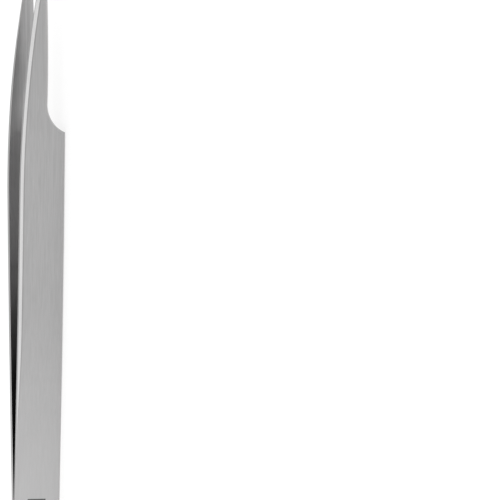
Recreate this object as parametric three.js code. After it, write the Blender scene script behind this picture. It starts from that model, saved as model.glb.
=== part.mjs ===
// Slant tweezers: two ground steel arms that are fused together at the tail and spring apart
// towards their fine tips, which lean over to one side.
// Millimetres. The arms are drawn upright, with z from the tail end to the tips and x across their
// width, and are mirror images of each other in the plane y = 0. The finished tool is then laid on
// the straight edges of its grips: +X runs to the tips and +Z is up, the way the tips lean.
import * as THREE from 'three';

// Driving dimensions
const TIP_Z = 135;
const GRIP_HALF_WIDTH = 5;
const TAIL_CORNER_RADIUS = 1.5;
const EDGE_THICKNESS = 0.7;

// Left edge: a slightly tapered grip, then one long arc up to the bend
const GRIP_TAPER = 0.1;
const LEFT_ARC_START_Z = 77;
const LEFT_ARC_RADIUS = 250;

// Right edge: a sharp shoulder, then a round notch below the slender, slightly bowed shank
const WAIST_X = 1;
const SHANK_BOW = 0.17;
const SHANK_MIDDLE_Z = 109;
const SHOULDER_Z = 91;
const NOTCH_RADIUS = 6;
const NOTCH_X = WAIST_X + NOTCH_RADIUS;
const NOTCH_Z = SHOULDER_Z + Math.sqrt(NOTCH_RADIUS ** 2 - (NOTCH_X - GRIP_HALF_WIDTH) ** 2);

// Leaning tips: each edge is a straight line back from its end, rounded where it meets the shank
const TIP_LEFT_X = -6.08;
const TIP_LEFT_LEAN = 0.458;
const TIP_LEFT_ROUNDING = 0.13;
const TIP_RIGHT_X = -5.75;
const TIP_RIGHT_LEAN = 0.579;
const TIP_RIGHT_ROUNDING = 0.28;

// Opening between the arms, from the weld to the tips
const WELD_HALF_THICKNESS = 0.1;
const WELD_END_Z = 12;
const TIP_HALF_GAP = 3.45;
const OPENING_POWER = 1.85;
const OPENING_START = 0.02;

// Bevels ground along both outer edges, which run out towards the tail, deepen where the side
// edges are ground thinner and shrink again at the tips
const BEVEL_DEPTH = 0.45;
const BEVEL_DEPTH_LEAST = 0.03;
const BEVEL_DEEPENING = 0.1;
const BEVEL_SHRINKING = 0.24;
const BEVEL_SLOPE = 1.06;
const BEVEL_RUN_OUT_Z = 25;
const BEVEL_FULL_Z = 50;
const BEVEL_WIDTH_SHARE = 0.42;
const RIDGE_HALF_WIDTH = 0.02;
const TIP_GRIND_Z = 120;
const THINNING_START_Z = 96;
const TIP_EDGE_THICKNESS = 0.28;
const INNER_EDGE_BREAK = 0.05;

// Where the sections are taken closer together: where the arms part, along the mitre of the
// shoulder and round the bend
const PARTED_Z = 22;
const MITRE_START_Z = 90;
const BEND_START_Z = 120;
const BEND_END_Z = 128;

// Finish
const STEEL = { metalness: 1, roughness: 0.35 };
const ARM_COLOUR = 0xb4b2b2;
const WELD_COLOUR = 0xa8a4a0;

// A number between two ends that has no corner where it leaves either of them
function eased(startZ, endZ, startValue, endValue, z) {
  return THREE.MathUtils.lerp(startValue, endValue, THREE.MathUtils.smoothstep(z, startZ, endZ));
}

// The lesser of two numbers, rounded over by this much where they cross
function roundedLess(a, b, rounding) {
  return (a + b) / 2 - Math.hypot((a - b) / 2, rounding);
}

// Where a straight tip edge is at this height
function tipEdge(endX, lean, inset, z) {
  return endX + lean * (TIP_Z - z) + inset * Math.hypot(1, lean);
}

// How far the rounded corners of the tail pull an edge in
function tailCorner(inset, z) {
  const radius = TAIL_CORNER_RADIUS - inset;
  const below = Math.max(0, TAIL_CORNER_RADIUS - z);
  return radius - Math.sqrt(Math.max(0, radius ** 2 - below ** 2));
}

// The arm's left edge, or the line that runs inside it at this inset
function leftEdge(inset, z) {
  const upTaper = Math.min(1, z / LEFT_ARC_START_Z);
  const upArc = Math.max(0, z - LEFT_ARC_START_Z);
  const radius = LEFT_ARC_RADIUS - inset;
  const arc = radius - Math.sqrt(radius ** 2 - upArc ** 2);
  const body = GRIP_TAPER * upTaper - GRIP_HALF_WIDTH + inset + arc + tailCorner(inset, z);
  return roundedLess(body, tipEdge(TIP_LEFT_X, TIP_LEFT_LEAN, inset, z), TIP_LEFT_ROUNDING);
}

// The shank's bowed right edge, level with the waist at the top of the notch
function shankEdge(z) {
  const offMiddle = (z - SHANK_MIDDLE_Z) / (SHANK_MIDDLE_Z - NOTCH_Z);
  return WAIST_X + SHANK_BOW * (1 - offMiddle ** 2);
}

// The arm's right edge, or the line that runs inside it at this inset
function rightEdge(inset, z) {
  const grip = GRIP_HALF_WIDTH - inset - tailCorner(inset, z);
  const radius = NOTCH_RADIUS + inset;
  const below = NOTCH_Z - z;
  if (below >= radius) {
    return grip;
  }
  if (below > 0) {
    return Math.min(grip, NOTCH_X - Math.sqrt(radius ** 2 - below ** 2));
  }
  const tip = tipEdge(TIP_RIGHT_X, TIP_RIGHT_LEAN, -inset, z);
  return roundedLess(shankEdge(z) - inset, tip, TIP_RIGHT_ROUNDING);
}

// Distance of an arm's inner face from the mirror plane, which grows from nothing above the weld
function innerFace(z) {
  const along = Math.max(0, (z - WELD_END_Z) / (TIP_Z - WELD_END_Z));
  const opened = (along ** 2 * (1 + OPENING_START)) / (along + OPENING_START);
  return WELD_HALF_THICKNESS
    + (TIP_HALF_GAP - WELD_HALF_THICKNESS) * (1 - (1 - opened) ** OPENING_POWER);
}

function bevelDepth(z) {
  const upTip = Math.max(0, (z - TIP_GRIND_Z) / (TIP_Z - TIP_GRIND_Z));
  return eased(BEVEL_RUN_OUT_Z, BEVEL_FULL_Z, BEVEL_DEPTH_LEAST, BEVEL_DEPTH, z)
    + eased(THINNING_START_Z, TIP_GRIND_Z, 0, BEVEL_DEEPENING, z)
    - BEVEL_SHRINKING * upTip;
}

function edgeThickness(z) {
  return eased(THINNING_START_Z, TIP_GRIND_Z, EDGE_THICKNESS, TIP_EDGE_THICKNESS, z);
}

// The arm's cross-section at one height: pairs of X and distance out from the inner face
function armSection(z) {
  const left = leftEdge(0, z);
  const right = rightEdge(0, z);
  const bevel = Math.min(bevelDepth(z) * BEVEL_SLOPE, BEVEL_WIDTH_SHARE * (right - left));
  const edge = edgeThickness(z);
  const full = edge + bevelDepth(z);
  const middle = (left + right) / 2;
  return [
    [left + INNER_EDGE_BREAK, 0],
    [right - INNER_EDGE_BREAK, 0],
    [right, INNER_EDGE_BREAK],
    [right, edge],
    [Math.max(rightEdge(bevel, z), middle + RIDGE_HALF_WIDTH), full],
    [Math.min(leftEdge(bevel, z), middle - RIDGE_HALF_WIDTH), full],
    [left, edge],
    [left, INNER_EDGE_BREAK],
  ];
}

// Heights that share a stretch evenly, without its upper end
function evenly(from, to, count) {
  return Array.from({ length: count }, (_, i) => from + ((to - from) * i) / count);
}

// Heights that share a quarter turn evenly, starting where the curve runs level
function quarterTurn(from, radius, count) {
  return evenly(0, Math.PI / 2, count).map((angle) => from + radius * (1 - Math.cos(angle)));
}

// A closed body through a stack of sections, each a ring of points of the same number
function loft(rings, mirrored) {
  const around = rings[0].length;
  const index = [];
  const addTriangle = (a, b, c) => index.push(...(mirrored ? [a, c, b] : [a, b, c]));
  for (let ring = 0; ring < rings.length - 1; ring += 1) {
    for (let k = 0; k < around; k += 1) {
      const here = ring * around + k;
      const next = ring * around + ((k + 1) % around);
      addTriangle(here, next, here + around);
      addTriangle(next, next + around, here + around);
    }
  }
  const last = (rings.length - 1) * around;
  for (let k = 1; k < around - 1; k += 1) {
    addTriangle(0, k + 1, k);
    addTriangle(last, last + k, last + k + 1);
  }
  const geometry = new THREE.BufferGeometry();
  geometry.setAttribute('position', new THREE.Float32BufferAttribute(rings.flat(2), 3));
  geometry.setIndex(index);
  geometry.computeVertexNormals();
  return geometry;
}

function named(name, geometry, color) {
  const mesh = new THREE.Mesh(geometry, new THREE.MeshStandardMaterial({ color, ...STEEL }));
  mesh.name = name;
  return mesh;
}

// Where each stretch of the arm starts, and how many sections it has
const STRETCHES = [
  [TAIL_CORNER_RADIUS, 2],
  [WELD_END_Z, 5],
  [PARTED_Z, 16],
  [MITRE_START_Z, 5],
  [SHOULDER_Z, 14],
  [NOTCH_Z, 8],
  [BEND_START_Z, 16],
  [BEND_END_Z, 4],
  [TIP_Z, 1],
];

const TAIL_CORNER_HEIGHTS = quarterTurn(0, TAIL_CORNER_RADIUS, 6);
const WELD_HEIGHTS = [...TAIL_CORNER_HEIGHTS, TAIL_CORNER_RADIUS, WELD_END_Z];
const ARM_HEIGHTS = [
  ...TAIL_CORNER_HEIGHTS,
  ...STRETCHES.flatMap(([from, count], i) => evenly(from, (STRETCHES[i + 1] ?? [TIP_Z])[0], count)),
];

// side is -1 for the front arm and +1 for the rear arm
function arm(name, side) {
  const rings = ARM_HEIGHTS.map((z) => armSection(z).map(
    ([x, out]) => [x, side * (innerFace(z) + out), z]));
  return named(name, loft(rings, side < 0), ARM_COLOUR);
}

// The fused metal fills the seam between the arms' inner faces at the tail
function tailWeld() {
  const rings = WELD_HEIGHTS.map((z) => {
    const left = leftEdge(INNER_EDGE_BREAK, z);
    const right = rightEdge(INNER_EDGE_BREAK, z);
    return [
      [left, -WELD_HALF_THICKNESS, z],
      [right, -WELD_HALF_THICKNESS, z],
      [right, WELD_HALF_THICKNESS, z],
      [left, WELD_HALF_THICKNESS, z],
    ];
  });
  return named('tail_weld', loft(rings, false), WELD_COLOUR);
}

const group = new THREE.Group();
group.add(arm('front_arm', -1), arm('rear_arm', 1), tailWeld());
group.rotation.y = Math.PI / 2;
group.position.set(-TIP_Z / 2, 0, GRIP_HALF_WIDTH);

export default group;
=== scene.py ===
"""Slant tweezers in brushed stainless steel, lying on the straight edges of their grips.

Outlines are drawn upright in millimetres, as in the CAD model: z from the tail end to the tips and x
across the width of the arms. Every point is then laid down into the shared frame, in metres.
"""

import math

import bmesh
import bpy
from mathutils import Matrix, Vector


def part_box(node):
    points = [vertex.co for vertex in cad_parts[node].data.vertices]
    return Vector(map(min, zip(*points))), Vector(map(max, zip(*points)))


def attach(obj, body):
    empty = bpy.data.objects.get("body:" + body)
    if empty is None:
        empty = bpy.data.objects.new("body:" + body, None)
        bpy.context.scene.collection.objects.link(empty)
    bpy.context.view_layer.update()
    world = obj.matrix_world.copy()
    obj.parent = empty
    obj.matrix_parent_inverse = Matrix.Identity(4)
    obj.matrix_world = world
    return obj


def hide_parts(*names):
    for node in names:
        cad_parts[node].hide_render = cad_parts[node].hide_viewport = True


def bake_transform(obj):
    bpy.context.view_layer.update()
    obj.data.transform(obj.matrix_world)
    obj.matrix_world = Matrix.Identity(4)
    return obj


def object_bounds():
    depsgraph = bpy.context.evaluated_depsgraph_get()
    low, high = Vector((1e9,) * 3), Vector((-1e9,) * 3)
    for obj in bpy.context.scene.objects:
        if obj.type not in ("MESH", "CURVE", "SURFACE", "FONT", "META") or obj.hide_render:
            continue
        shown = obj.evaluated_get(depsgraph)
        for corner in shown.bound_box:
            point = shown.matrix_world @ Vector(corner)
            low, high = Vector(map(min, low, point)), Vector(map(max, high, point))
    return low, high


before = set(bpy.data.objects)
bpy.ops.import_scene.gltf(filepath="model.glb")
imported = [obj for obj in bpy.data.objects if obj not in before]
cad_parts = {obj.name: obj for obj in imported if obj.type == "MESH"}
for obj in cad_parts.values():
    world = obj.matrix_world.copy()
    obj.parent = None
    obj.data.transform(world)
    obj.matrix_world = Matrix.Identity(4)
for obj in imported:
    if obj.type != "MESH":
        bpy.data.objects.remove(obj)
cad_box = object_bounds()

MM = 0.001

# Places taken from the frame
TIP_Z = (cad_box[1].x - cad_box[0].x) / MM
WELD_HALF_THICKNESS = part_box("tail_weld")[1].y / MM
WELD_END_Z = (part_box("tail_weld")[1].x - cad_box[0].x) / MM

# Left edge: a slightly tapered grip, then one long arc up to the bend
GRIP_HALF_WIDTH = 5
TAIL_CORNER_RADIUS = 1.5
GRIP_TAPER = 0.1
LEFT_ARC_START_Z = 77
LEFT_ARC_RADIUS = 250

# Right edge: a sharp shoulder, then a round notch below the slender, slightly bowed shank
WAIST_X = 1
SHANK_BOW = 0.17
SHANK_MIDDLE_Z = 109
SHOULDER_Z = 91
NOTCH_RADIUS = 6
NOTCH_X = WAIST_X + NOTCH_RADIUS
NOTCH_Z = SHOULDER_Z + math.sqrt(NOTCH_RADIUS**2 - (NOTCH_X - GRIP_HALF_WIDTH) ** 2)
SHOULDER_ROUNDING = 0.03

# Leaning tips: each edge is a straight line back from its end, rounded at the bend
TIP_LEFT_X = -6.08
TIP_LEFT_LEAN = 0.458
TIP_LEFT_ROUNDING = 0.13
TIP_RIGHT_X = -5.75
TIP_RIGHT_LEAN = 0.579
TIP_RIGHT_ROUNDING = 0.28
BEND_START_Z = 120
BEND_END_Z = 128

# Opening between the arms, from the weld to the tips
TIP_HALF_GAP = 3.45
OPENING_POWER = 1.85
OPENING_START = 0.02

# Thickness, and the bevels ground along both outer edges, which run out towards the tail, deepen
# where the side edges are ground thinner and shrink again at the tips
EDGE_THICKNESS = 0.7
BEVEL_DEPTH = 0.45
BEVEL_DEPTH_LEAST = 0.03
BEVEL_DEEPENING = 0.1
BEVEL_SHRINKING = 0.24
BEVEL_SLOPE = 1.06
BEVEL_RUN_OUT_Z = 25
BEVEL_FULL_Z = 50
BEVEL_WIDTH_SHARE = 0.42
RIDGE_HALF_WIDTH = 0.02
TIP_GRIND_Z = 120
THINNING_START_Z = 96
TIP_EDGE_THICKNESS = 0.28

# Fine rounding that the ground edges really have
INNER_EDGE_RADIUS = 0.07
OUTER_EDGE_RADIUS = 0.05
CORNER_SHARE = 0.4
CORNER_STEPS = 3

# The flats of an arm's section, going round it from the corner at the inner face's left edge
FLATS = ("inner", "side", "bevel", "outer", "bevel", "side")
RIDGE_STRIPS = 2
RIDGE_STRIP_WIDTH = 0.35

# Eased edges round both ends
END_RADIUS = 0.1
END_SHARE = 0.6

# Weld bead
BEAD_RECESS = 0.02
BEAD_RIPPLE = 0.012
BEAD_RIPPLE_LENGTH = 0.4
BEAD_STEP = 0.05
BEAD_STEPS = 8

# A plain etched bar on the front arm's outer face, which is all further out than MARK_MOST_Y
MARK_X = -0.2
MARK_HALF_WIDTH = 2.05
MARK_Z = (14.2, 15.4)
MARK_MOST_Y = -0.6
MARK_RAGGEDNESS = 0.04

# Noise: where most of its values lie, and for each use its features per millimetre across the width,
# through the thickness and along the length
NOISE_RANGE = (0.3, 0.7)
NOISE_MIDDLE = 0.5
STREAK_SCALE = (4, 4, 0.04)
STREAK_SHARE = 0.6
HAIR_SCALE = (15, 15, 0.16)
CLOUD_SCALE = (0.26, 0.26, 0.09)
SCRATCH_SCALE = (7, 7, 0.12)
SCRATCH_RANGE = (0.68, 0.72)
SCRATCH_TURN = 5
RAGGED_SCALE = (9, 9, 9)
WELD_GRAIN_SCALE = (6, 6, 6)
WELD_HEAT_SCALE = (0.5, 0.5, 0.5)
WELD_HEAT_RANGE = (0.35, 0.65)

# Reflectance in the low and the high parts of the noise, and green and blue as shares of red
STEEL_TONES = (0.455, 0.525)
CLOUD_TONES = (0.98, 1.02)
BEVEL_TONES = (0.415, 0.45)
MARK_TONES = (0.12, 0.2)
# Tone of the polished scratches, and of the rounded edges, where it is partly a painted highlight
POLISH_AND_HIGHLIGHT_TONE = 0.6
STEEL_TINT = (0.993, 0.995)
WELD_TONES = (0.36, 0.46)
WELD_HEAT_TONES = (0.8, 1.0)
WELD_TINT = (0.97, 0.93)

# Roughness in the low and the high parts of the noise
STEEL_ROUGHNESS = (0.37, 0.31)
CLOUD_ROUGHNESS = (-0.02, 0.02)
BEVEL_ROUGHNESS = (0.26, 0.21)
MARK_ROUGHNESS = 0.65
POLISHED_ROUGHNESS = 0.2
WELD_ROUGHNESS = (0.5, 0.38)

# What changes along the arm: from one height to another, and its value at each
GRAIN_CONTRAST = (25, 105, 0.6, 1.8)
INNER_GRAIN_CONTRAST = 3.2
# Painted shade on the outer faces: darker towards the tips and along the shank
OUTER_PAINTED_SHADE = (17, 56, 0.98, 0.82)
OUTER_SHANK_PAINTED_SHADE = (85, 110, 1.0, 0.93)
# Painted shade on the inner faces: darkest in the narrow gap near the weld, darker along the shank,
# lighter at the tips
INNER_GAP_PAINTED_SHADE = (34, 67, 0.15, 1.08)
INNER_SHANK_PAINTED_SHADE = (84, 106, 1.0, 0.7)
INNER_TIP_PAINTED_LIGHT = (106, 120, 1.0, 1.1)
# Painted shade: a fine dark line along the left ridge of the outer face, fading in with the bevel
RIDGE_PAINTED_SHADE = (BEVEL_RUN_OUT_Z, BEVEL_FULL_Z, 0.0, 0.3)

# How strongly the rounded edges and the scratches are polished; the edges' lighter tone is partly
# polish and partly a painted highlight
EDGE_POLISH_AND_HIGHLIGHT = 0.5
EDGE_SMOOTHING = 0.6
SCRATCH_POLISH = 0.15
STEEL_ANISOTROPY = 0.3

# Relief, with its depth in metres, and how much deeper the scratches go than the brushing
SCRATCH_DEPTH_SHARE = 0.3
STEEL_RELIEF = {"Strength": 0.25, "Distance": 0.004 * MM}
WELD_RELIEF = {"Strength": 0.5, "Distance": 0.01 * MM}

# View: towards the front arm from above it, turned so that the tips point up in the picture. The
# middle of the picture is VIEW_RIGHT across from the middle of the grips, and VIEW_Z up the tool.
# The distance and the clipping are in metres.
VIEW_ELEVATION = 26
VIEW_WIDTH = 103.2
VIEW_RIGHT = 44.25
VIEW_Z = 66.7
VIEW_DISTANCE = 1.5
VIEW_CLIP_START = 0.05
VIEW_CLIP_END = 20.0
SENSOR_WIDTH = 36

# Light: an even sky with one brighter patch, and a floor that glows like a light table. The patch has
# an azimuth, an elevation, the angles where it starts to fade and ends, and a strength.
SKY_BASE = 0.85
KEY_LOBE = (0, 76, 10, 50, 0.8)
FLOOR_REFLECTANCE = 0.4
FLOOR_GLOW = 0.64

# Floor, in metres
FLOOR_RADIUS = 4.5
FLOOR_SEGMENTS = 128
FLOOR_GAP = 0.05 * MM


def lay(x, y, z):
    """A point of the upright drawing, in millimetres, as a place in the shared frame."""
    return Vector((cad_box[0].x + z * MM, y * MM, (GRIP_HALF_WIDTH - x) * MM))


def smoothstep(start, end, value):
    t = min(1, max(0, (value - start) / (end - start)))
    return t * t * (3 - 2 * t)


def mix(a, b, share):
    return a + (b - a) * share


def rounded_less(a, b, rounding):
    """The lesser of two numbers, rounded over by this much where they cross."""
    return (a + b) / 2 - math.hypot((a - b) / 2, rounding)


def tip_edge(end_x, lean, inset, z):
    return end_x + lean * (TIP_Z - z) + inset * math.hypot(1, lean)


def tail_corner(inset, z):
    """How far the rounded corners of the tail pull an edge in."""
    radius = TAIL_CORNER_RADIUS - inset
    below = max(0, TAIL_CORNER_RADIUS - z)
    return radius - math.sqrt(max(0, radius**2 - below**2))


def left_edge(inset, z):
    """The arm's left edge, or the line that runs inside it at this inset."""
    up_taper = min(1, z / LEFT_ARC_START_Z)
    up_arc = max(0, z - LEFT_ARC_START_Z)
    radius = LEFT_ARC_RADIUS - inset
    arc = radius - math.sqrt(radius**2 - up_arc**2)
    body = GRIP_TAPER * up_taper - GRIP_HALF_WIDTH + inset + arc + tail_corner(inset, z)
    return rounded_less(body, tip_edge(TIP_LEFT_X, TIP_LEFT_LEAN, inset, z), TIP_LEFT_ROUNDING)


def shank_edge(z):
    """The shank's bowed right edge, level with the waist at the top of the notch."""
    off_middle = (z - SHANK_MIDDLE_Z) / (SHANK_MIDDLE_Z - NOTCH_Z)
    return WAIST_X + SHANK_BOW * (1 - off_middle**2)


def right_edge(inset, z):
    """The arm's right edge, or the line that runs inside it at this inset."""
    grip = GRIP_HALF_WIDTH - inset - tail_corner(inset, z)
    radius = NOTCH_RADIUS + inset
    below = NOTCH_Z - z
    if below >= radius:
        return grip
    if below > 0:
        return rounded_less(grip, NOTCH_X - math.sqrt(radius**2 - below**2), SHOULDER_ROUNDING)
    tip = tip_edge(TIP_RIGHT_X, TIP_RIGHT_LEAN, -inset, z)
    return rounded_less(shank_edge(z) - inset, tip, TIP_RIGHT_ROUNDING)


def inner_face(z):
    """Distance of an arm's inner face from the plane midway between the arms."""
    along = max(0, (z - WELD_END_Z) / (TIP_Z - WELD_END_Z))
    opened = along**2 * (1 + OPENING_START) / (along + OPENING_START)
    return mix(WELD_HALF_THICKNESS, TIP_HALF_GAP, 1 - (1 - opened) ** OPENING_POWER)


def bevel_depth(z):
    """Runs out towards the tail, deepens where the side edges thin and shrinks again at the tips."""
    body = mix(BEVEL_DEPTH_LEAST, BEVEL_DEPTH, smoothstep(BEVEL_RUN_OUT_Z, BEVEL_FULL_Z, z))
    deepening = BEVEL_DEEPENING * smoothstep(THINNING_START_Z, TIP_GRIND_Z, z)
    up_tip = max(0, (z - TIP_GRIND_Z) / (TIP_Z - TIP_GRIND_Z))
    return body + deepening - BEVEL_SHRINKING * up_tip


def edge_thickness(z):
    return mix(EDGE_THICKNESS, TIP_EDGE_THICKNESS, smoothstep(THINNING_START_Z, TIP_GRIND_Z, z))


def section_corners(z):
    """The arm's six-sided cross-section: x, distance out from the inner face, and rounding."""
    left, right = left_edge(0, z), right_edge(0, z)
    bevel = min(bevel_depth(z) * BEVEL_SLOPE, BEVEL_WIDTH_SHARE * (right - left))
    middle = (left + right) / 2
    edge = edge_thickness(z)
    full = edge + bevel_depth(z)
    return [
        (left, 0, INNER_EDGE_RADIUS),
        (right, 0, INNER_EDGE_RADIUS),
        (right, edge, OUTER_EDGE_RADIUS),
        (max(right_edge(bevel, z), middle + RIDGE_HALF_WIDTH), full, OUTER_EDGE_RADIUS),
        (min(left_edge(bevel, z), middle - RIDGE_HALF_WIDTH), full, OUTER_EDGE_RADIUS),
        (left, edge, OUTER_EDGE_RADIUS),
    ]


def round_corners(corners):
    """Replaces each corner of a closed outline with a short curve."""
    outline = []
    for i, (x, out, radius) in enumerate(corners):
        here = Vector((x, out))
        before = Vector(corners[i - 1][:2]) - here
        after = Vector(corners[(i + 1) % len(corners)][:2]) - here
        reach = radius / math.tan(before.angle(after) / 2)
        reach = min(reach, CORNER_SHARE * before.length, CORNER_SHARE * after.length)
        start, end = here + before.normalized() * reach, here + after.normalized() * reach
        for step in range(CORNER_STEPS + 1):
            t = step / CORNER_STEPS
            outline.append(start * (1 - t) ** 2 + here * (2 * t * (1 - t)) + end * t**2)
    return outline


def with_ridge_strips(outline):
    """Adds a point on the outer face beside each of its two ridges."""
    after = (FLATS.index("outer") + 1) * (CORNER_STEPS + 1)
    first, last = outline[after - 1], outline[after]
    across = last - first
    strip = across.normalized() * min(RIDGE_STRIP_WIDTH, CORNER_SHARE * across.length)
    return [*outline[:after], first + strip, last - strip, *outline[after:]]


def end_inset(z):
    """How far the eased edges of both ends pull the outline in."""
    into_end = max(0, END_RADIUS - z, END_RADIUS - (TIP_Z - z))
    return END_RADIUS - math.sqrt(max(0, END_RADIUS**2 - into_end**2))


def arm_ring(z, side):
    outline = with_ridge_strips(round_corners(section_corners(z)))
    xs, outs = [p.x for p in outline], [p.y for p in outline]
    low, high = Vector((min(xs), min(outs))), Vector((max(xs), max(outs)))
    middle, half = (low + high) / 2, (high - low) / 2
    inset = min(end_inset(z), END_SHARE * half.x)
    ring = []
    for p in outline:
        x = middle.x + (p.x - middle.x) * (1 - inset / half.x)
        out = middle.y + (p.y - middle.y) * (1 - inset / half.y)
        ring.append((x, side * (inner_face(z) + out), z))
    return ring


def ring_marks():
    """What each point and each side of an arm's ring is, going round it with its flats."""
    edge, ridge, inner, bevel = [], [], [], []
    for i, flat in enumerate(FLATS):
        strips = RIDGE_STRIPS if flat == "outer" else 0
        edge += [0.0] + [1.0] * (CORNER_STEPS - 1) + [0.0] * (1 + strips)
        ridge += [float(FLATS[i - 1] == "outer")] + [0.0] * (CORNER_STEPS + strips)
        inner += [0.0] * CORNER_STEPS + [float(flat == "inner")] * (1 + strips)
        bevel += [0.0] * CORNER_STEPS + [float(flat == "bevel")] * (1 + strips)
    return {"edge": edge, "ridge": ridge}, {"inner": inner, "bevel": bevel}


def evenly(start, end, count):
    """Heights that share a stretch evenly, without its upper end."""
    return [mix(start, end, i / count) for i in range(count)]


def turn(radius, first, last, count):
    """Heights that share part of a turn evenly, in degrees from where the curve runs level."""
    return [radius * (1 - math.cos(math.radians(a))) for a in evenly(first, last, count)]


# Where each stretch of the arm starts, and how many sections it has: most at the sharp shoulder
SHOULDER_APPROACH = 1
SHOULDER_REACH = 0.4
STRETCHES = [
    (TAIL_CORNER_RADIUS, 16),
    (WELD_END_Z, 100),
    (SHOULDER_Z - SHOULDER_APPROACH, 12),
    (SHOULDER_Z - SHOULDER_REACH, 40),
    (SHOULDER_Z + SHOULDER_REACH, 50),
    (NOTCH_Z, 30),
    (BEND_START_Z, 60),
    (BEND_END_Z, 30),
    (TIP_Z - END_RADIUS, 0),
]

# Sections round the ends, in degrees: the tail corner's turn is past the eased end at EASED_TURN
QUARTER_TURN = 90
END_STEPS = 5
TAIL_CORNER_STEPS = 16
EASED_TURN = 22


def arm_heights():
    """The heights of an arm's sections, from the tail end to the tips."""
    easing = turn(END_RADIUS, 0, QUARTER_TURN, END_STEPS)
    heights = easing + turn(TAIL_CORNER_RADIUS, EASED_TURN, QUARTER_TURN, TAIL_CORNER_STEPS)
    for (start, count), (end, _) in zip(STRETCHES, STRETCHES[1:]):
        heights += evenly(start, end, count)
    return heights + [TIP_Z - END_RADIUS] + [TIP_Z - h for h in reversed(easing)]


def store(mesh, name, kind, domain, field, values):
    mesh.attributes.new(name, kind, domain).data.foreach_set(field, values)


def loft(name, rings, point_marks, side_marks):
    """A closed mesh through a stack of rings, each with the same number of points.

    The marks tell the materials where they are: each is a name and a list of numbers, one for each
    point of a ring or for each side of it. The points of the upright drawing are kept as "rest".
    The two ends of the stack carry no marks.
    """
    bm = bmesh.new()
    rows = [[bm.verts.new(lay(*p)) for p in ring] for ring in rings]
    for low, high in zip(rows, rows[1:]):
        for k in range(len(low)):
            after = (k + 1) % len(low)
            bm.faces.new((low[k], low[after], high[after], high[k]))
    bm.faces.new(rows[0])
    bm.faces.new(rows[-1])
    bmesh.ops.recalc_face_normals(bm, faces=bm.faces)
    for face in bm.faces:
        face.smooth = True
    mesh = bpy.data.meshes.new(name)
    bm.to_mesh(mesh)
    bm.free()
    drawn = [coordinate for ring in rings for point in ring for coordinate in point]
    store(mesh, "rest", "FLOAT_VECTOR", "POINT", "vector", drawn)
    for mark, numbers in point_marks.items():
        store(mesh, mark, "FLOAT", "POINT", "value", numbers * len(rings))
    ends = [0.0, 0.0]
    for mark, numbers in side_marks.items():
        store(mesh, mark, "FLOAT", "FACE", "value", numbers * (len(rings) - 1) + ends)
    piece = bpy.data.objects.new(name, mesh)
    bpy.context.scene.collection.objects.link(piece)
    normals = piece.modifiers.new("face_weighted_normals", "WEIGHTED_NORMAL")
    normals.keep_sharp = True
    return piece


class Nodes:
    """Adds nodes to one material or world, and links them."""

    def __init__(self, owner):
        owner.use_nodes = True
        self.tree = owner.node_tree
        self.tree.nodes.clear()

    def add(self, kind, inputs=None, **settings):
        node = self.tree.nodes.new(kind)
        for key, value in settings.items():
            setattr(node, key, value)
        for key, value in (inputs or {}).items():
            if isinstance(value, bpy.types.NodeSocket):
                self.tree.links.new(value, node.inputs[key])
            else:
                node.inputs[key].default_value = value
        return node

    def math(self, operation, a, b=0.0):
        return self.add("ShaderNodeMath", {0: a, 1: b}, operation=operation).outputs[0]

    def remap(self, value, low, high, to_low, to_high, smooth=False):
        inputs = {"Value": value, "From Min": low, "From Max": high}
        inputs |= {"To Min": to_low, "To Max": to_high}
        kind = "SMOOTHSTEP" if smooth else "LINEAR"
        return self.add("ShaderNodeMapRange", inputs, interpolation_type=kind).outputs["Result"]

    def mix(self, a, b, share):
        inputs = {"Factor": share, "A": a, "B": b}
        return self.add("ShaderNodeMix", inputs, data_type="FLOAT").outputs["Result"]

    def toned(self, noise, tones):
        """Turns noise into a number between two others."""
        return self.remap(noise, *NOISE_RANGE, *tones)

    def tinted(self, value, tint):
        """A grey with a slight colour."""
        green, blue = [self.math("MULTIPLY", value, share) for share in tint]
        return self.add("ShaderNodeCombineColor", {0: value, 1: green, 2: blue}).outputs[0]

    def attribute(self, name, output):
        return self.add("ShaderNodeAttribute", attribute_name=name).outputs[output]

    def noise(self, place, scale, detail=2.0, roughness=0.5, turn=0.0):
        """Noise with a scale for each axis, in features per millimetre, turned in the arm's plane."""
        inputs = {"Vector": place, "Scale": scale, "Rotation": (0, math.radians(turn), 0)}
        stretched = self.add("ShaderNodeMapping", inputs, vector_type="POINT")
        inputs = {"Vector": stretched.outputs[0], "Scale": 1.0}
        inputs |= {"Detail": detail, "Roughness": roughness}
        return self.add("ShaderNodeTexNoise", inputs).outputs["Fac"]

    def lobe(self, place, azimuth, elevation, full, edge, strength):
        """A soft round patch of light in the sky: all of it inside one angle, none past another."""
        toward = {0: place, 1: direction(azimuth, elevation)}
        dot = self.add("ShaderNodeVectorMath", toward, operation="DOT_PRODUCT").outputs["Value"]
        low, high = math.cos(math.radians(edge)), math.cos(math.radians(full))
        return self.remap(dot, low, high, 0.0, strength, smooth=True)


def etched_bar(nodes, rest):
    """A plain rectangle on the front arm's outer face, with slightly uneven edges."""
    parts = nodes.add("ShaderNodeSeparateXYZ", {0: rest}).outputs
    ragged = nodes.math("MULTIPLY", nodes.noise(rest, RAGGED_SCALE), MARK_RAGGEDNESS)
    centred = nodes.math("ABSOLUTE", nodes.math("SUBTRACT", parts["X"], MARK_X))
    across = nodes.math("ADD", centred, ragged)
    along = nodes.math("ADD", parts["Z"], ragged)
    inside = nodes.math("LESS_THAN", across, MARK_HALF_WIDTH)
    inside = nodes.math("MULTIPLY", inside, nodes.math("GREATER_THAN", along, MARK_Z[0]))
    inside = nodes.math("MULTIPLY", inside, nodes.math("LESS_THAN", along, MARK_Z[1]))
    return nodes.math("MULTIPLY", inside, nodes.math("LESS_THAN", parts["Y"], MARK_MOST_Y))


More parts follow.
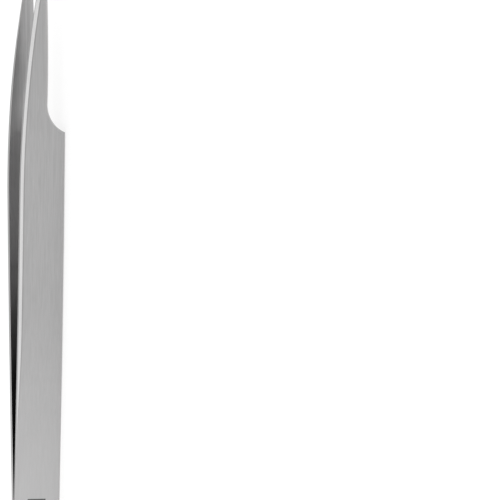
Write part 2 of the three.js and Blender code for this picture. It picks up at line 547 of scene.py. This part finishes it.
def brushed_grain(nodes, hairs, rest, along, inner):
    """Lengthwise brushing: stronger towards the tips, and strongest on the inner faces."""
    streaks = nodes.noise(rest, STREAK_SCALE, detail=3.0, roughness=0.6)
    grain = nodes.mix(hairs, streaks, STREAK_SHARE)
    contrast = nodes.mix(nodes.remap(along, *GRAIN_CONTRAST), INNER_GRAIN_CONTRAST, inner)
    centred = nodes.math("SUBTRACT", grain, NOISE_MIDDLE)
    return nodes.math("ADD", nodes.math("MULTIPLY", centred, contrast), NOISE_MIDDLE)


def outer_painted_shade(nodes, along, ridge):
    """Painted shade: the outer faces darken from the tail to the tips, with a fine painted dark line
    at the left ridge.
    """
    # Painted shade, darker towards the tips and along the shank
    tone = nodes.remap(along, *OUTER_PAINTED_SHADE)
    tone = nodes.math("MULTIPLY", tone, nodes.remap(along, *OUTER_SHANK_PAINTED_SHADE, smooth=True))
    # Painted dark line along the ridge
    line = nodes.math("MULTIPLY", ridge, nodes.remap(along, *RIDGE_PAINTED_SHADE))
    return nodes.math("MULTIPLY", tone, nodes.math("SUBTRACT", 1.0, line))


def inner_painted_shade(nodes, along):
    """Painted shade on the inner faces: dark in the narrow gap near the weld, where shade falls
    between the arms, lighter further up, darker along the shank and lighter again at the tips.
    """
    tone = nodes.remap(along, *INNER_GAP_PAINTED_SHADE, smooth=True)
    tone = nodes.math("MULTIPLY", tone, nodes.remap(along, *INNER_SHANK_PAINTED_SHADE, smooth=True))
    return nodes.math("MULTIPLY", tone, nodes.remap(along, *INNER_TIP_PAINTED_LIGHT, smooth=True))


def arm_steel():
    """Satin stainless steel: lengthwise brushing, ground bevels, polished edges with a painted
    highlight, an etched bar, and painted shade along the arms.
    """
    material = bpy.data.materials.new("brushed_steel")
    nodes = Nodes(material)
    rest = nodes.attribute("rest", "Vector")
    along = nodes.add("ShaderNodeSeparateXYZ", {0: rest}).outputs["Z"]
    marks = ("inner", "bevel", "edge", "ridge")
    inner, bevel, edge, ridge = [nodes.attribute(name, "Fac") for name in marks]
    hairs = nodes.noise(rest, HAIR_SCALE)
    brushing = brushed_grain(nodes, hairs, rest, along, inner)
    cloud = nodes.noise(rest, CLOUD_SCALE)
    scratch = nodes.noise(rest, SCRATCH_SCALE, detail=1.0, roughness=0.4, turn=SCRATCH_TURN)
    scratch = nodes.remap(scratch, *SCRATCH_RANGE, 0.0, 1.0, smooth=True)
    mark = etched_bar(nodes, rest)

    steel = nodes.math("MULTIPLY", nodes.toned(brushing, STEEL_TONES), nodes.toned(cloud, CLOUD_TONES))
    # Painted shade along the arms, on the outer and the inner faces
    painted_shade = nodes.mix(outer_painted_shade(nodes, along, ridge), inner_painted_shade(nodes, along), inner)
    value = nodes.math("MULTIPLY", steel, painted_shade)
    value = nodes.mix(value, nodes.toned(brushing, BEVEL_TONES), bevel)
    # Rounded edges lighter: partly polished steel, partly a painted highlight
    value = nodes.mix(value, POLISH_AND_HIGHLIGHT_TONE, nodes.math("MULTIPLY", edge, EDGE_POLISH_AND_HIGHLIGHT))
    value = nodes.mix(value, POLISH_AND_HIGHLIGHT_TONE, nodes.math("MULTIPLY", scratch, SCRATCH_POLISH))
    value = nodes.mix(value, nodes.toned(hairs, MARK_TONES), mark)

    rough = nodes.toned(brushing, STEEL_ROUGHNESS)
    rough = nodes.math("ADD", rough, nodes.toned(cloud, CLOUD_ROUGHNESS))
    rough = nodes.mix(rough, nodes.toned(brushing, BEVEL_ROUGHNESS), bevel)
    rough = nodes.mix(rough, POLISHED_ROUGHNESS, nodes.math("MULTIPLY", edge, EDGE_SMOOTHING))
    rough = nodes.mix(rough, MARK_ROUGHNESS, mark)

    cut = nodes.math("MULTIPLY", scratch, SCRATCH_DEPTH_SHARE)
    height = nodes.math("SUBTRACT", brushing, cut)
    bump = nodes.add("ShaderNodeBump", {**STEEL_RELIEF, "Height": height})
    tangent = nodes.add("ShaderNodeTangent", direction_type="RADIAL", axis="X")
    shader = nodes.add(
        "ShaderNodeBsdfPrincipled",
        {
            "Base Color": nodes.tinted(value, STEEL_TINT),
            "Metallic": 1.0,
            "Roughness": rough,
            "Anisotropic": STEEL_ANISOTROPY,
            "Normal": bump.outputs[0],
            "Tangent": tangent.outputs[0],
        },
    )
    nodes.add("ShaderNodeOutputMaterial", {"Surface": shader.outputs[0]})
    return material


def weld_steel():
    """Fused metal: duller than the arms, with heat-darkened patches."""
    material = bpy.data.materials.new("weld_steel")
    nodes = Nodes(material)
    rest = nodes.attribute("rest", "Vector")
    grain = nodes.noise(rest, WELD_GRAIN_SCALE, detail=4.0, roughness=0.6)
    heat = nodes.remap(nodes.noise(rest, WELD_HEAT_SCALE), *WELD_HEAT_RANGE, *WELD_HEAT_TONES)
    value = nodes.math("MULTIPLY", nodes.toned(grain, WELD_TONES), heat)
    bump = nodes.add("ShaderNodeBump", {**WELD_RELIEF, "Height": grain})
    shader = nodes.add(
        "ShaderNodeBsdfPrincipled",
        {
            "Base Color": nodes.tinted(value, WELD_TINT),
            "Metallic": 1.0,
            "Roughness": nodes.toned(grain, WELD_ROUGHNESS),
            "Normal": bump.outputs[0],
        },
    )
    nodes.add("ShaderNodeOutputMaterial", {"Surface": shader.outputs[0]})
    return material


def floor_material():
    """Pale and matt, and lit a little from within."""
    material = bpy.data.materials.new("studio_floor")
    nodes = Nodes(material)
    paint = nodes.add("ShaderNodeBsdfDiffuse", {"Color": (*[FLOOR_REFLECTANCE] * 3, 1.0)})
    glow = nodes.add("ShaderNodeEmission", {"Color": (1, 1, 1, 1), "Strength": FLOOR_GLOW})
    surface = nodes.add("ShaderNodeAddShader", {0: paint.outputs[0], 1: glow.outputs[0]})
    nodes.add("ShaderNodeOutputMaterial", {"Surface": surface.outputs[0]})
    return material


def make_arm(name, side, node, material):
    """One arm: side is -1 for the front one and 1 for the rear one."""
    rings = [arm_ring(z, side) for z in arm_heights()]
    piece = loft(name, rings, *ring_marks())
    piece.data.materials.append(material)
    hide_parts(node)
    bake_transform(piece)


def bead_ring(z):
    """The weld bead's section: flat sides against both arms and a rounded, rippled nose."""
    ripple = BEAD_RIPPLE * math.sin(2 * math.pi * z / BEAD_RIPPLE_LENGTH)
    nose = BEAD_RECESS + ripple + WELD_HALF_THICKNESS
    ring = []
    for middle_x, facing in ((left_edge(nose, z), 180), (right_edge(nose, z), 0)):
        for step in range(BEAD_STEPS + 1):
            angle = math.radians(facing + QUARTER_TURN * (2 * step / BEAD_STEPS - 1))
            x = middle_x + WELD_HALF_THICKNESS * math.cos(angle)
            ring.append((x, WELD_HALF_THICKNESS * math.sin(angle), z))
    return ring


def make_bead(material):
    """The weld between the arms at the tail."""
    count = round((WELD_END_Z - TAIL_CORNER_RADIUS) / BEAD_STEP)
    heights = turn(TAIL_CORNER_RADIUS, 0, QUARTER_TURN, 2 * TAIL_CORNER_STEPS)
    heights += evenly(TAIL_CORNER_RADIUS, WELD_END_Z, count) + [WELD_END_Z]
    rings = [bead_ring(z) for z in heights]
    piece = loft("weld_bead", rings, {}, {})
    piece.data.materials.append(material)
    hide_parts("tail_weld")
    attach(piece, "tail")


def make_floor():
    bm = bmesh.new()
    bmesh.ops.create_circle(bm, cap_ends=True, segments=FLOOR_SEGMENTS, radius=FLOOR_RADIUS)
    mesh = bpy.data.meshes.new("floor")
    bm.to_mesh(mesh)
    bm.free()
    floor = bpy.data.objects.new("floor", mesh)
    floor.location.z = cad_box[0].z - FLOOR_GAP
    mesh.materials.append(floor_material())
    bpy.context.scene.collection.objects.link(floor)


def direction(azimuth, elevation):
    a, e = math.radians(azimuth), math.radians(elevation)
    return Vector((math.sin(a) * math.cos(e), -math.cos(a) * math.cos(e), math.sin(e)))


def make_world():
    """White to the camera, and a soft studio sky that lights the steel and the floor."""
    world = bpy.data.worlds.new("studio")
    bpy.context.scene.world = world
    nodes = Nodes(world)
    place = nodes.add("ShaderNodeTexCoord").outputs["Generated"]
    key = nodes.lobe(place, *KEY_LOBE)
    sky = nodes.math("ADD", key, SKY_BASE)
    room = nodes.add("ShaderNodeBackground", {"Color": (1, 1, 1, 1), "Strength": sky})
    white = nodes.add("ShaderNodeBackground", {"Color": (1, 1, 1, 1), "Strength": 1.0})
    seen = nodes.add("ShaderNodeLightPath").outputs["Is Camera Ray"]
    both = nodes.add("ShaderNodeMixShader", {0: seen, 1: room.outputs[0], 2: white.outputs[0]})
    nodes.add("ShaderNodeOutputWorld", {"Surface": both.outputs[0]})


def make_camera():
    """Looks at the front arm from above it, with the tips towards the top of the picture."""
    data = bpy.data.cameras.new("camera")
    data.sensor_width = SENSOR_WIDTH
    data.lens = SENSOR_WIDTH * VIEW_DISTANCE / (VIEW_WIDTH * MM)
    data.clip_start = VIEW_CLIP_START
    data.clip_end = VIEW_CLIP_END
    camera = bpy.data.objects.new("camera", data)
    back, up = direction(0, VIEW_ELEVATION), Vector((1, 0, 0))
    right = up.cross(back)
    camera.location = lay(0, 0, VIEW_Z) + right * VIEW_RIGHT * MM + back * VIEW_DISTANCE
    camera.rotation_mode = "QUATERNION"
    camera.rotation_quaternion = Matrix((right, up, back)).transposed().to_quaternion()
    bpy.context.scene.collection.objects.link(camera)
    bpy.context.scene.camera = camera


def main():
    bpy.context.scene.view_settings.view_transform = "Standard"
    make_camera()
    make_world()
    make_floor()
    steel = arm_steel()
    make_arm("front_arm_ground", -1, "front_arm", steel)
    make_arm("rear_arm_ground", 1, "rear_arm", steel)
    make_bead(weld_steel())


main()
